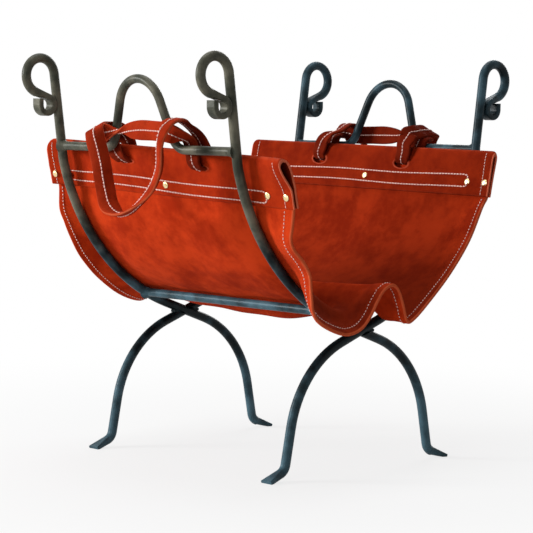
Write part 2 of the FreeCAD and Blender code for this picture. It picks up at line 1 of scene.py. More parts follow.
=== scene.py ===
"""Looks of a hearth log rack with its lift-out suede log carrier.

The rack's bars, rails and welds are shown as they were built. The soft carrier is drawn here: a sling
of suede, a folded strip over each top edge, rivets, thread, and two strap handles threaded through the
strips. Metres, in the frame of the built part: X along the logs, Y across the rack with the near side at
-Y, Z up.
"""

import math

import bpy
import numpy as np
from mathutils import Matrix, Vector


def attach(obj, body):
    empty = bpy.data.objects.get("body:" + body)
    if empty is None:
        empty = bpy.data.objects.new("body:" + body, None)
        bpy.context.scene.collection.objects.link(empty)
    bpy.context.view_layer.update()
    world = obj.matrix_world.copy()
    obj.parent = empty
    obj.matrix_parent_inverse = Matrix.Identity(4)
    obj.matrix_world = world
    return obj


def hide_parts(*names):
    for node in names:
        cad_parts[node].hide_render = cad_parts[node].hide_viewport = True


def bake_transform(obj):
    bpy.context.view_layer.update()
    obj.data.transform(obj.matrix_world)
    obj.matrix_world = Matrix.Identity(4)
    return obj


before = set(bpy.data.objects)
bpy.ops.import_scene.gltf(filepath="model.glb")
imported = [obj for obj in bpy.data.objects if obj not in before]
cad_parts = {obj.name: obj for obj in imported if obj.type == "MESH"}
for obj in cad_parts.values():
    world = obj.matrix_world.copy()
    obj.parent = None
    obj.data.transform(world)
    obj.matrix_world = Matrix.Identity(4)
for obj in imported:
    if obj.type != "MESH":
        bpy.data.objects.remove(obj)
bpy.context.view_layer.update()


# Bars and rails. Round iron bar, bent hot into the scrolled S of each end frame and into the rails between.
# It is blackened with oil. Painted shade makes it blackest round the crossings, under the sling's belly,
# and painted light makes the legs greyer towards the floor. It is lighter along the bottom rails, and the
# near uprights, which are handled most, have turned to a brown patina.
mm = 0.001
iron_black = (0.003, 0.008, 0.010)
iron_grey = (0.066, 0.132, 0.168)
patina_dark = (0.036, 0.040, 0.029)
patina_light = (0.142, 0.134, 0.098)
leg_heights = (20 * mm, 130 * mm)
crossing_heights = (90 * mm, 150 * mm, 178 * mm, 200 * mm)
bottom_rail_heights = (185 * mm, 200 * mm, 212 * mm, 230 * mm)
hand_heights = (200 * mm, 360 * mm)
hand_depths = (-200 * mm, 120 * mm)


class Paint:
    """One socket of a finish's nodes. Sums and products on it add Math nodes."""

    def __init__(self, tree, socket):
        self.tree = tree
        self.socket = socket

    def node(self, kind, settings, sockets, output=0):
        """A node of any type: its settings first, then its sockets' values or links, as one output."""
        made = self.tree.nodes.new(kind)
        for name, value in settings.items():
            setattr(made, name, value)
        for name, value in sockets.items():
            if isinstance(value, Paint):
                self.tree.links.new(value.socket, made.inputs[name])
            elif isinstance(value, tuple) and made.inputs[name].type == "RGBA":
                made.inputs[name].default_value = (*value, 1)
            else:
                made.inputs[name].default_value = value
        return Paint(self.tree, made.outputs[output])

    def math(self, operation, first, second):
        """A sum, difference or product of two values."""
        return self.node("ShaderNodeMath", {"operation": operation}, {0: first, 1: second})

    def __add__(self, other):
        return self.math("ADD", self, other)

    def __sub__(self, other):
        return self.math("SUBTRACT", self, other)

    def __rsub__(self, other):
        return self.math("SUBTRACT", other, self)

    def __mul__(self, other):
        return self.math("MULTIPLY", self, other)

    def noise(self, scale, detail, roughness=0.5):
        """Cloudy noise over this place, so many cells to the metre."""
        sockets = {"Vector": self, "Scale": scale, "Detail": detail, "Roughness": roughness}
        return self.node("ShaderNodeTexNoise", {}, sockets)

    def between(self, low, high):
        """Smooth step from 0 at low to 1 at high."""
        sockets = {"Value": self, "From Min": low, "From Max": high}
        return self.node("ShaderNodeMapRange", {"interpolation_type": "SMOOTHSTEP"}, sockets)

    def within(self, low, full, until, high):
        """1 from full to until, and smoothly down to 0 at low and at high."""
        return self.between(low, full) * (1 - self.between(until, high))

    def mix(self, first, second):
        """Colour that goes from the first to the second as this value goes from 0 to 1."""
        settings = {"data_type": "RGBA"}
        return self.node("ShaderNodeMix", settings, {0: self, 6: first, 7: second}, 2)

    def bump(self, strength, depth):
        """Surface normal of this height."""
        sockets = {"Strength": strength, "Distance": depth, "Height": self}
        return self.node("ShaderNodeBump", {}, sockets)

    def axis(self, n):
        """One coordinate of this place."""
        return self.node("ShaderNodeSeparateXYZ", {}, {0: self}, n)

    def named(self, attribute):
        """A value that the mesh carries under that name."""
        return self.node("ShaderNodeAttribute", {"attribute_name": attribute}, {}, 2)


def new_finish(name):
    """An empty finish: its material, the place on the piece as a Paint, and its main shader."""
    material = bpy.data.materials.new(name)
    material.use_nodes = True
    tree = material.node_tree
    place = Paint(tree, tree.nodes.new("ShaderNodeTexCoord").outputs["Object"])
    return material, place, tree.nodes["Principled BSDF"]


def feed(shader, **sockets):
    """Links or sets sockets of a shader; an underscore stands for a space."""
    for name, value in sockets.items():
        socket = shader.inputs[name.replace("_", " ")]
        if isinstance(value, Paint):
            value.tree.links.new(value.socket, socket)
        else:
            socket.default_value = value


def iron_finish(name, roughness, grain_depth):
    """Oil-blacked forged iron: a hammered mottle from black to grey, turned brown where hands reach."""
    material, place, shader = new_finish(name)
    mottle = place.noise(38, 4)
    hammer = place.noise(95, 2)
    grain = place.noise(900, 3)
    height = place.axis(2)
    handled = height.between(*hand_heights) * (1 - place.axis(1).between(*hand_depths))
    # Painted shade round the crossings, where the sling's belly shades the bars from above
    painted_crossing_shade = height.within(*crossing_heights)
    # Lighter along the bottom rails
    lightened = height.within(*bottom_rail_heights)
    # Painted light on the lower legs, where more light falls on them
    painted_leg_light = 1 - height.between(*leg_heights)
    tone = mottle * 0.45 + painted_leg_light * 0.1 - painted_crossing_shade * 0.07 + lightened * 0.07 + 0.275
    brown = (handled * 0.85 + mottle * 0.7 - 0.35).between(0.1, 0.75)
    black = tone.between(0.41, 0.7).mix(iron_black, iron_grey)
    worn = mottle.between(0.32, 0.7).mix(patina_dark, patina_light)
    feed(
        shader,
        Base_Color=brown.mix(black, worn),
        Metallic=0.05,
        Specular_IOR_Level=0.1,
        Roughness=mottle * 0.24 + roughness,
        Normal=(hammer * 0.8 + grain * 0.06).bump(0.35, grain_depth),
    )
    return material


iron = iron_finish("blacked_iron", 0.27, 1.6 * mm)
bar_nodes = [f"{end}_{side}_bar" for end in ("left", "right") for side in ("near", "far")]
rail_nodes = [f"{side}_{level}_rail" for side in ("near", "far") for level in ("top", "bottom")]


def show_node(node, material):
    """Gives a built node its finish."""
    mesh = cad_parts[node].data
    mesh.materials.clear()
    mesh.materials.append(material)


for node in bar_nodes + rail_nodes:
    show_node(node, iron)


# Welds. Beads of weld metal round the rails' ends and in the corners of the crossings, brushed and
# blackened with the bars, so they are only a little rougher and duller.
bead = iron_finish("blacked_weld", 0.42, 3.0 * mm)
weld_nodes = [f"{side}_{level}_rail_welds" for side in ("near", "far") for level in ("top", "bottom")]
for node in weld_nodes + ["left_crossing_weld", "right_crossing_weld"]:
    show_node(node, bead)


# Sling. One sheet of rust-red suede, cut about 440 by 680 mm, its side edges turned under and sewn. It
# hangs from its two strips, lies on the bars and the bottom rails, humps up along the middle between them,
# and at the right end slumps over the frame in a shoulder and a belly.
sling_left = 216 * mm
sling_right = 222.5 * mm
left_skew = math.tan(math.radians(5.3))
right_skew = math.tan(math.radians(2.93))
frame_at = 165 * mm
suede_half = 1.5 * mm
hem_half = 2.2 * mm
hem_width = 12 * mm
panel_lean = math.radians(12.5)
panel_head = np.array([194.8, 399.4]) * mm
panel_down = np.array([-math.sin(panel_lean), -math.cos(panel_lean)])
panel_out = np.array([math.cos(panel_lean), -math.sin(panel_lean)])
band_heights = {"near": (406 * mm, 391 * mm), "far": (402 * mm, 396 * mm)}
band_sides = {"near": -1, "far": 1}
sheet_depths = np.array([37, 49, 61]) * mm


def smooth(value, low, high):
    """Smooth step from 0 at low to 1 at high."""
    share = np.clip((value - low) / (high - low), 0, 1)
    return share * share * (3 - 2 * share)


def through(knots, rows, at):
    """Smooth curve through rows at their knots: cubic pieces that share the mean slope at each knot."""
    knots = np.asarray(knots, float)
    rows = np.asarray(rows, float)
    wide = (-1,) + (1,) * (rows.ndim - 1)
    gaps = np.diff(knots)
    steps = np.diff(rows, axis=0) / gaps.reshape(wide)
    weight = (gaps[1:] / (gaps[1:] + gaps[:-1])).reshape(wide)
    inner = steps[:-1] * weight + steps[1:] * (1 - weight)
    slopes = np.concatenate([steps[:1], inner, steps[-1:]])
    n = np.clip(np.searchsorted(knots, at, side="right") - 1, 0, len(knots) - 2)
    w = ((at - knots[n]) / gaps[n]).reshape(wide)
    reach = gaps[n].reshape(wide)
    begin = (1 + 2 * w) * (1 - w) ** 2 * rows[n] + w * (1 - w) ** 2 * reach * slopes[n]
    end = w * w * (3 - 2 * w) * rows[n + 1] + w * w * (w - 1) * reach * slopes[n + 1]
    return begin + end


def side_ends(side_name):
    """X of the two ends of a top edge, which hang a little askew."""
    y = band_sides[side_name] * panel_head[0]
    return -sling_left - left_skew * y, sling_right - right_skew * y


def band_top(side_name, x):
    """Height of a strip's top at x: straight from end to end."""
    first, last = side_ends(side_name)
    high, low = band_heights[side_name]
    return high + (low - high) * (x - first) / (last - first)


def panel_points(side_name, x, depth):
    """(Y, Z) at a distance below a strip's top, on the middle of the leaning panel."""
    below = (band_top(side_name, x) - panel_head[1]) / panel_down[1] + depth
    y = band_sides[side_name] * (panel_head[0] + below * panel_down[0])
    return np.stack([y, panel_head[1] + below * panel_down[1]], -1)


near_swing = 12 * mm
near_leans = (math.radians(-9), math.radians(20))
swing_runs = (33 * mm, 55 * mm)
lean_depth = 36 * mm


def swung_out(side_name, x, depth):
    """How far the near strip's ends stand out: its left end swings out, the fold at its right leans out.

    Each grows from nought over its run, as a power of the share of the run.
    """
    first, last = side_ends(side_name)
    left = np.clip((first + swing_runs[0] - x) / swing_runs[0], 0, 1) ** 1.3
    right = np.clip((x - last + swing_runs[1]) / swing_runs[1], 0, 1) ** 1.3
    above = np.maximum(lean_depth - depth, 0)
    lean = left * math.sin(near_leans[0]) + right * math.sin(near_leans[1])
    return (left * near_swing + above * lean) * (side_name == "near")


# Profiles (y, z) in mm from below the near strip to below the far one, at places along the rack
left_profile = [
    (-188, 316), (-181, 299), (-172, 281), (-157, 257), (-142, 240.5), (-126, 226), (-107, 212.5),
    (-89, 201.5), (-70, 193), (-51, 187.5), (-38, 186.5), (-27, 191), (-18, 198), (-9, 204), (0, 206.5),
    (9, 204.5), (17, 200), (27, 195), (43, 196), (66, 205), (109, 233), (147, 272), (173, 312),
]
frame_profile = [
    (-174, 316), (-166, 301.5), (-154.5, 285), (-138, 265), (-123.3, 250.2), (-109.5, 238.4),
    (-95, 227.2), (-77.8, 216), (-66, 209.6), (-51, 203), (-40, 202), (-30, 206.5), (-20, 215),
    (-10, 224.5), (0, 230.5), (9, 223.5), (17, 208.5), (27, 197.5), (43, 200.5), (66, 209.6),
    (109.5, 238.4), (145, 273.2), (171.5, 311),
]
span_profile = [
    (-175, 316), (-168, 300.5), (-157, 283), (-141, 262.5), (-126.5, 247.5), (-112, 235.8), (-97, 225),
    (-79, 215), (-66, 209.6), (-51, 194), (-38, 187), (-27, 196.5), (-18, 212), (-9, 222.5), (0, 228.5),
    (9, 222), (17, 209), (27, 192), (43, 193), (66, 209.6), (112, 236), (148, 271), (173, 310.5),
]
slump_profile = [
    (-182, 312), (-184.5, 297), (-179, 284.5), (-164, 271), (-152, 254), (-149, 230), (-146, 211),
    (-136, 197.5), (-110, 185), (-84, 179), (-60, 184), (-43, 198), (-30, 216), (-17, 229.5),
    (-2, 234.5), (9, 228), (18, 211), (27, 188.5), (41, 191), (70, 211.5), (110, 245), (146, 284),
    (171, 325),
]
span_at = 118 * mm
past_frame = 178 * mm
free_at = 196 * mm
inner_knots = [-frame_at, -span_at, 0, span_at, frame_at, past_frame, free_at]
sling_knots = np.array([-sling_left] + inner_knots + [sling_right])
valley_lifts = np.array([0, 0, 7, 0, 4, 0, 0, 0, 0]) * mm
valley_at = -38 * mm
valley_width = 14 * mm
slumped = np.array(slump_profile)
framed = np.array(frame_profile)

# Past the right frame the sheet is free: its far valley drops at once, and the rest comes down after it
past_share = 0.05 + 0.85 * np.exp(-(((slumped[:, :1] - 28) / 22) ** 2))
free_share = 0.5 + 0.45 * np.exp(-(((slumped[:, :1] - 20) / 45) ** 2))
freed = [framed + (slumped - framed) * share for share in (past_share, free_share, 1)]
profiles = [left_profile, framed] + [span_profile] * 3 + [framed] + freed
sling_rows = []
for n, profile in enumerate(profiles):
    at_x = sling_knots[n]
    near_top = panel_points("near", np.full(3, at_x), sheet_depths)
    far_top = panel_points("far", np.full(3, at_x), sheet_depths)
    across = np.concatenate([near_top, np.array(profile) * mm, far_top[::-1]])
    across[:, 1] += valley_lifts[n] * np.exp(-(((across[:, 0] - valley_at) / valley_width) ** 2))
    along = np.full(len(across), at_x)
    if n == 0:
        along = along - left_skew * across[:, 0]
    if n == len(profiles) - 1:
        along = along - right_skew * across[:, 0]
    sling_rows.append(np.column_stack([along, across]))
sling_rows = np.array(sling_rows)
role_count = sling_rows.shape[1]
sway_depth = 45 * mm


def sling_surface(roles, stations):
    """Middle of the sheet on a grid: a smooth curve down each profile, then one along the rack.

    A role is a place down the profiles, so that each fold keeps its role from end to end.
    """
    curves = through(np.arange(role_count), sling_rows.transpose(1, 0, 2), roles)
    points = through(sling_knots, curves.transpose(1, 0, 2), stations).transpose(1, 0, 2)
    sway = swung_out("near", points[..., 0], sway_depth) * (1 - smooth(roles, 0.4, 3.4))[:, None]
    return points - sway[..., None] * np.array([0, 1, 0])


def surface_normals(points):
    """Unit normals of a grid of points: the cross product of its two directions."""
    down = np.gradient(points, axis=0)
    along = np.gradient(points, axis=1)
    normal = np.cross(along, down)
    return normal / np.linalg.norm(normal, axis=2, keepdims=True)


def edge_distances(count, length):
    """Distances from one side edge to the other, close together in the hems."""
    edge = [0, 0.2, 0.6, 1.2, 2, 3, 4.5, 6.5, 8.5]
    fold = [10, 11, 11.8, 12.6, 13.5, 15, 18, 22, 28]
    hem = np.array(edge + fold) * mm
    middle = np.linspace(34 * mm, length - 34 * mm, count)
    return np.concatenate([hem, middle, length - hem[::-1]])


def round_off(distance, radius):
    """Share of the thickness near a rounded edge: a quarter circle of that radius."""
    return np.sqrt(np.clip(1 - (1 - np.clip(distance / radius, 0, 1)) ** 2, 0, 1))


def leaf(middle, normals, half, cut=None):
    """Closed thin sheet on a grid: the middle moved half a thickness each way, with walls between.

    Half is nought on the first and last column, where the faces meet. Cut marks grid cells that are
    left open, and a hole's rim is walled from face to face.
    """
    rows, columns = half.shape
    front = middle + normals * half[..., None]
    back = middle - normals * half[..., None]
    points = np.concatenate([front.reshape(-1, 3), back.reshape(-1, 3)])
    index = np.arange(rows * columns).reshape(rows, columns)
    behind = index + rows * columns
    behind[:, 0] = index[:, 0]
    behind[:, -1] = index[:, -1]
    keep = np.ones((rows - 1, columns - 1), bool) if cut is None else ~cut

    def cells(grid):
        """Four corners of every cell of a grid."""
        return np.stack([grid[:-1, :-1], grid[1:, :-1], grid[1:, 1:], grid[:-1, 1:]], -1)

    def wall(a, b):
        """Faces from one side of the sheet to the other, between points a and points b."""
        return np.stack([index[a], behind[a], behind[b], index[b]], -1).reshape(-1, 4)

    faces = [cells(index)[keep], cells(behind)[keep][:, ::-1]]
    inner = np.s_[:-1]
    outer = np.s_[1:]
    faces.append(wall((0, outer), (0, inner)))
    faces.append(wall((-1, inner), (-1, outer)))
    gone = np.pad(~keep, 1)
    for step, axis in ((1, 0), (-1, 0), (1, 1), (-1, 1)):
        edge = gone & ~np.roll(gone, step, axis)
        r, c = np.nonzero(edge[1:-1, 1:-1])
        if axis == 0:
            a, b = ((r, c), (r, c + 1)) if step == 1 else ((r + 1, c + 1), (r + 1, c))
        else:
            a, b = ((r + 1, c), (r, c)) if step == 1 else ((r, c + 1), (r + 1, c + 1))
        faces.append(wall(a, b))
    return points, np.concatenate(faces)


def new_piece(name, points, faces, material, marks=None):
    """Mesh piece from points and four-cornered faces. Repeated corners make triangles, unused points go."""
    used = np.unique(faces)
    order = np.zeros(len(points), int)
    order[used] = np.arange(len(used))
    corners = [list(dict.fromkeys(face)) for face in order[faces].tolist()]
    mesh = bpy.data.meshes.new(name)
    mesh.from_pydata(points[used].tolist(), [], [face for face in corners if len(face) > 2])
    a, b, c, d = (points[faces[:, n]] for n in range(4))
    volume = np.einsum("ij,ij->", a, np.cross(b, c)) + np.einsum("ij,ij->", a, np.cross(c, d))
    if volume < 0:
        mesh.flip_normals()
    mesh.shade_smooth()
    for mark, values in (marks or {}).items():
        layer = mesh.attributes.new(mark, "FLOAT", "POINT")
        layer.data.foreach_set("value", values[used].astype(np.float32))
    mesh.materials.append(material)
    piece = bpy.data.objects.new(name, mesh)
    bpy.context.collection.objects.link(piece)
    return piece


def suede_finish(name, bright, deep, pale, painted_shade):
    """Napped suede: cloudy patches of two reds and a short nap, paler where worn, darker by painted shade
    inside.
    """
    material, place, shader = new_finish(name)
    patches = place.noise(16, 5, 0.62)
    brush = place.noise(70, 4, 0.6)
    nap = place.noise(1500, 3, 0.7)
    blotch = (patches * 0.8 + brush * 0.4).between(0.42, 0.76)
    worn = place.named("wear") * (brush * 0.9 + 0.35)
    # Painted shade: the same two reds darkened by a factor, shown where the mesh's inside mark is set
    shade_paint = blotch.mix(tuple(painted_shade * c for c in deep), tuple(painted_shade * c for c in bright))
    colour = place.named("inside").mix(blotch.mix(deep, bright), shade_paint)
    feed(
        shader,
        Base_Color=worn.between(0.1, 0.9).mix(colour, pale),
        Roughness=0.95 - nap * 0.12,
        Normal=(nap * 0.5 + brush * 0.5).bump(0.4, 0.8 * mm),
        Specular_IOR_Level=0.03,
        Sheen_Weight=0.03,
        Sheen_Roughness=0.5,
        Sheen_Tint=(0.9, 0.3, 0.15, 1),
    )
    return material


sheet_red = (0.51, 0.039, 0.006)
sheet_deep = (0.30, 0.017, 0.002)
sheet_pale = (0.60, 0.10, 0.036)
suede = suede_finish("rust_suede", sheet_red, sheet_deep, sheet_pale, 0.43)
roles = np.linspace(0, role_count - 1, 261)
edge_steps = edge_distances(72, sling_left + sling_right)
stations = edge_steps - sling_left
sheet_middle = sling_surface(roles, stations)
sheet_normals = surface_normals(sheet_middle)

# Hand-made waviness, none under the strips, on the bars or in the hems
wave_height = 0.8 * mm
loose = smooth(roles, 2.2, 4)[:, None] * smooth(role_count - 1 - roles, 2.2, 4)[:, None]
loose = loose * smooth(np.abs(np.abs(stations) - frame_at), 8 * mm, 35 * mm)[None, :]
edge = np.minimum(edge_steps, edge_steps[::-1])
loose = loose * smooth(edge, 12 * mm, 40 * mm)[None, :]
x, y, z = np.moveaxis(sheet_middle, 2, 0)
waves = np.sin(31 * x + 24 * z + 1.2 * np.sin(40 * y)) + 0.7 * np.sin(74 * x - 35 * z + 19 * y)
sheet_middle = sheet_middle + sheet_normals * (wave_height * waves * loose)[..., None]
in_hem = 1 - smooth(edge, hem_width - 1 * mm, hem_width + 1.5 * mm)
sheet_half = suede_half + (hem_half - suede_half) * in_hem
sheet_half = np.tile(sheet_half * round_off(edge, hem_half), (len(roles), 1))
wear = np.tile(1 - smooth(edge, 0.5 * mm, 3.2 * mm), (len(roles), 1)).ravel()
points, faces = leaf(sheet_middle, sheet_normals, sheet_half)

# Painted shade on the inside face: most low in the valleys, less on the ridge and on the right shoulder,
# which catch the light
ridge = np.exp(-((y / (22 * mm)) ** 2))
shade_paint = 0.7 + 0.32 * (1 - smooth(z, 205 * mm, 300 * mm)) * (1 - ridge) - 0.6 * ridge
shade_paint = shade_paint - 0.3 * smooth(x, 130 * mm, 210 * mm) * smooth(z, 225 * mm, 285 * mm)
inside = np.concatenate([shade_paint.ravel(), np.zeros(wear.size)])
marks = {"wear": np.concatenate([wear, wear]), "inside": inside}
sling = new_piece("suede_sheet", points, faces, suede, marks)
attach(sling, "carrier")
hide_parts("suede_sling")


# Hem thread. Heavy pinkish-white waxed thread that holds the turned edges down, one line of long stitches
# along each side of the sling, seen on both faces.
thread, place, shader = new_finish("waxed_thread")
twist = place.noise(700, 2)
feed(
    shader,
    Base_Color=twist.between(0.3, 0.7).mix((0.68, 0.36, 0.31), (0.90, 0.68, 0.62)),
    Roughness=0.7,
    Normal=twist.bump(0.3, 0.3 * mm),
)


def stitches(path, out, pitch, length, radius):
    """Stitches along a path: a row of blunt spindles, each laid from one point of the path to the next.

    A spindle is a ring of five points carried along its length, thin at its ends, sunk a little at both.
    """
    steps = np.linalg.norm(np.diff(path, axis=0), axis=1)
    far = np.concatenate([[0], np.cumsum(steps)])
    middles = np.arange(pitch / 2, far[-1], pitch)

    def at(distance, values):
        """Values at distances along the path, in straight lines between its points."""
        return np.stack([np.interp(distance, far, values[:, n]) for n in range(3)], -1)

    begin = at(middles - length / 2, path)
    end = at(middles + length / 2, path)
    normal = at(middles, out)
    ahead = end - begin
    ahead = ahead / np.linalg.norm(ahead, axis=1, keepdims=True)
    aside = np.cross(ahead, normal)
    shares = np.array([0, 0.12, 0.5, 0.88, 1])
    girths = np.array([0.35, 0.85, 1, 0.85, 0.35]) * radius
    rises = np.array([-0.6, 0, 0.35, 0, -0.6]) * radius
    turn = np.arange(5) * 2 * math.pi / 5
    line = begin[:, None] * (1 - shares[None, :, None]) + end[:, None] * shares[None, :, None]
    line = line + normal[:, None] * rises[None, :, None]
    ring = np.cos(turn)[None, :, None] * normal[:, None] + np.sin(turn)[None, :, None] * aside[:, None]
    points = line[:, :, None] + girths[None, :, None, None] * ring[:, None]
    index = np.arange(points.size // 3).reshape(points.shape[:3])
    nextward = np.roll(index, -1, 2)
    tube = np.stack([index[:, :-1], index[:, 1:], nextward[:, 1:], nextward[:, :-1]], -1).reshape(-1, 4)
    caps = [index[:, 0, [0, 1, 2, 3]], index[:, 0, [0, 3, 4, 4]]]
    caps += [index[:, -1, [3, 2, 1, 0]], index[:, -1, [4, 4, 3, 0]]]
    return points.reshape(-1, 3), np.concatenate([tube] + caps)


def sewn(name, runs, pitch, length, radius):
    """One piece of thread from several runs of stitches."""
    points = []
    faces = []
    count = 0
    for path, out in runs:
        more, cells = stitches(path, out, pitch, length, radius)
        points.append(more)
        faces.append(cells + count)
        count += len(more)
    return new_piece(name, np.concatenate(points), np.concatenate(faces), thread)


hem_seam = 10.5 * mm
seam_beside = 1 * mm
seam_roles = np.linspace(2.1, role_count - 3.1, 400)
seam_runs = []
for seam_at in (hem_seam, edge_steps[-1] - hem_seam):
    beside = np.array([seam_at - seam_beside, seam_at, seam_at + seam_beside])
    strip = sling_surface(seam_roles, beside - sling_left)
    out = surface_normals(strip)[:, 1]
    for sign in (1, -1):
        seam_runs.append((strip[:, 1] + sign * out * (hem_half + 0.1 * mm), sign * out))
hem_thread = sewn("hem_thread", seam_runs, 4.4 * mm, 2.9 * mm, 0.72 * mm)
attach(hem_thread, "carrier")


# Top strips. A strip of the same suede folded over each top edge as a sleeve, sewn through with a long
# rounded box of stitches, with two holes for its strap. The near one gapes open at its ends.
band_red = (0.39, 0.028, 0.004)
band_deep = (0.25, 0.014, 0.002)
band_pale = (0.66, 0.14, 0.07)
band_suede = suede_finish("strip_suede", band_red, band_deep, band_pale, 0.62)
leather_half = 1.25 * mm
fold_half = 2.8 * mm
band_turns = 14
near_gapes = (2.5 * mm, 4.5 * mm)
gape_runs = (40 * mm, 50 * mm)
band_overhang = 2.5 * mm
strap_holes = {"near": (-54.9 * mm, 83.5 * mm), "far": (57.8 * mm, -96.4 * mm)}
hole_depth = 21 * mm
hole_radius = np.array([12, 3.8]) * mm
inner_slack = 2.2 * mm
outer_slack = -1.0 * mm
rim_lift = 0.9 * mm
end_clear = 13 * mm
band_step = 1.7 * mm
box_depths = {"near": ((39, 42), (51, 56)), "far": ((36, 34), (50, 50))}
corner_radii = {"near": (9 * mm, 3 * mm), "far": (5 * mm, 5 * mm)}


def sleeve(openness, turns):
    """Middle of the folded strip across its run: (offset, depth) by turns, a smooth curve through rows.

    Turn 0 is the lower edge of the outer leaf, turn 7 the fold and turn 14 the inner leaf's lower edge. The
    leaves lie flat below and bulge apart by the openness near the fold.
    """
    legs = [(1, 0, 60), (1, 0, 50), (1, 0, 40), (1, 0.35, 30), (1, 0.85, 20), (1, 1, 11), (0.72, 0.8, 4.2)]
    outer = [(fold * fold_half, bulge, depth * mm) for fold, bulge, depth in legs]
    inner = [(-offset, -bulge, depth) for offset, bulge, depth in outer[::-1]]
    rows = np.array(outer + [(0, 0, leather_half)] + inner)
    curve = through(np.arange(len(rows)), rows, turns)
    offset = curve[None, :, 0] + curve[None, :, 1] * openness[:, None]
    return offset, np.tile(curve[:, 2], (len(openness), 1))


def band_places(side_name, x, offset, depth):
    """Points of a strip: down the leaning panel by the depth, out of it by the offset and the swing."""
    y, z = np.moveaxis(panel_points(side_name, x, depth), -1, 0)
    out = offset * panel_out[0] + swung_out(side_name, x, depth)
    return np.stack([x, y + band_sides[side_name] * out, z + offset * panel_out[1]], -1)


def gape(side_name, x):
    """Half the gap between a strip's leaves at its fold: the near strip stands open at its ends."""
    first, last = side_ends(side_name)
    even = 0.5 * mm + 0.5 * mm * np.sin(x / (23 * mm))
    right = near_gapes[1] * smooth(x, last - gape_runs[1], last)
    left = near_gapes[0] * (1 - smooth(x, first, first + gape_runs[0]))
    return even + (left + right) * (side_name == "near")


def make_band(side_name):
    """The folded strip as a leaf over (run, turn), with its two strap holes cut and their rims raised."""
    first, last = side_ends(side_name)
    first -= band_overhang
    last += band_overhang
    edge = np.array([0, 0.3, 0.8, 1.6, 3, 6, 10]) * mm
    between = np.arange(first + end_clear, last - end_clear, band_step)
    x = np.concatenate([first + edge, between, last - edge[::-1]])
    ends = np.array([0, 0.04, 0.1, 0.2, 0.4])
    turns = np.concatenate([ends, np.linspace(0.6, band_turns - 0.6, 119), band_turns - ends[::-1]])
    offset, depth = sleeve(gape(side_name, x), turns)
    left_corner, right_corner = corner_radii[side_name]
    cut_back = left_corner * (1 - round_off(x - first, left_corner))
    cut_back = cut_back + right_corner * (1 - round_off(last - x, right_corner))
    depth = depth + cut_back[:, None] * (1 - smooth(depth, 0, 26 * mm))
    wide = np.tile(x[:, None], (1, len(turns)))
    cut = np.zeros((len(x) - 1, len(turns) - 1), bool)
    hole_rub = np.zeros(wide.shape)
    for hole in strap_holes[side_name]:
        run = wide - hole
        slack = np.where(offset < 0, inner_slack, outer_slack)
        drop = depth - hole_depth - slack
        around = np.hypot(run / hole_radius[0], drop / (hole_radius[1] + slack))
        inside = around < 1.06
        gone = inside[:-1, :-1] & inside[1:, :-1] & inside[:-1, 1:] & inside[1:, 1:]
        cut |= gone
        rim = np.zeros(inside.shape, bool)
        for a in (np.s_[:-1], np.s_[1:]):
            for b in (np.s_[:-1], np.s_[1:]):
                rim[a, b] |= gone
        rim &= around > 0.6
        wide = np.where(rim, hole + run / around, wide)
        depth = np.where(rim, hole_depth + slack + drop / around, depth)
        lift = rim_lift * np.exp(-(((np.maximum(around, 1) - 1.08) / 0.22) ** 2))
        offset = offset + np.sign(offset) * lift
        lightened = 0.6 * np.exp(-(((np.maximum(around, 1) - 1.14) / 0.14) ** 2))
        hole_rub = np.maximum(hole_rub, lightened)
    middle = band_places(side_name, wide, offset, depth)
    normals = surface_normals(middle)
    turn_edge = np.minimum(turns, band_turns - turns) * 10 * mm
    run_edge = np.minimum(x - first, last - x)
    half = leather_half * round_off(turn_edge, leather_half)[None, :]
    half = half * (0.6 + 0.4 * round_off(run_edge, 0.9 * mm))[:, None]
    points, faces = leaf(middle, normals, half, cut)
    low_rub = 0.3 * (1 - smooth(turn_edge, 0.5 * mm, 2.5 * mm))[None, :]
    end_rub = 1.1 * (1 - smooth(run_edge, 0.5 * mm, 2 * mm))[:, None]
    top_rub = 0.35 * (1 - smooth(depth, 1 * mm, 6 * mm))
    rub = np.maximum(np.maximum(low_rub, end_rub), np.maximum(top_rub, hole_rub)).ravel()
    # Painted shade on the inner leaf, which faces into the rack
    painted_shade = np.tile(smooth(turns, 6.8, 7.4), (len(x), 1)).ravel()
    marks = {"wear": np.concatenate([rub, rub]), "inside": np.concatenate([painted_shade, painted_shade])}
    return new_piece(f"{side_name}_strip", points, faces, band_suede, marks)


def box_run(side_name, first, last, sign):
    """The sewn box on one face of a strip: two long lines with rounded ends, as (path, outward)."""
    turn = np.linspace(-math.pi / 2, math.pi / 2, 14)
    line = np.linspace(first, last, 120)
    even = np.ones(len(line))
    bend = 3.4 * mm * np.cos(turn)
    x = np.concatenate([line, last + bend, line[::-1], first - bend])
    swing = np.concatenate([-even, np.sin(turn), even, -np.sin(turn)])
    high, low = (np.interp(x, (first, last), ends) * mm for ends in box_depths[side_name])
    depth = (high + low) / 2 + swing * (low - high) / 2 + 0.9 * mm * np.sin(x / (37 * mm))
    offset = np.full(len(x), sign * (fold_half + leather_half + 0.15 * mm))
    side = band_sides[side_name]
    out = np.tile([0, sign * side * panel_out[0], sign * panel_out[1]], (len(x), 1))
    return band_places(side_name, x, offset, depth), out


def end_run(side_name, x, sign):
    """A line of stitches down one leaf of a strip, near its end, from the fold to the lower edge."""
    turns = np.linspace(0.1, 6.1, 30)
    offset, depth = sleeve(gape(side_name, np.array([x])), turns)
    offset = sign * (offset[0] + leather_half + 0.15 * mm)
    side = band_sides[side_name]
    out = np.tile([0, sign * side * panel_out[0], sign * panel_out[1]], (len(turns), 1))
    return band_places(side_name, np.full(len(turns), x), offset, depth[0]), out


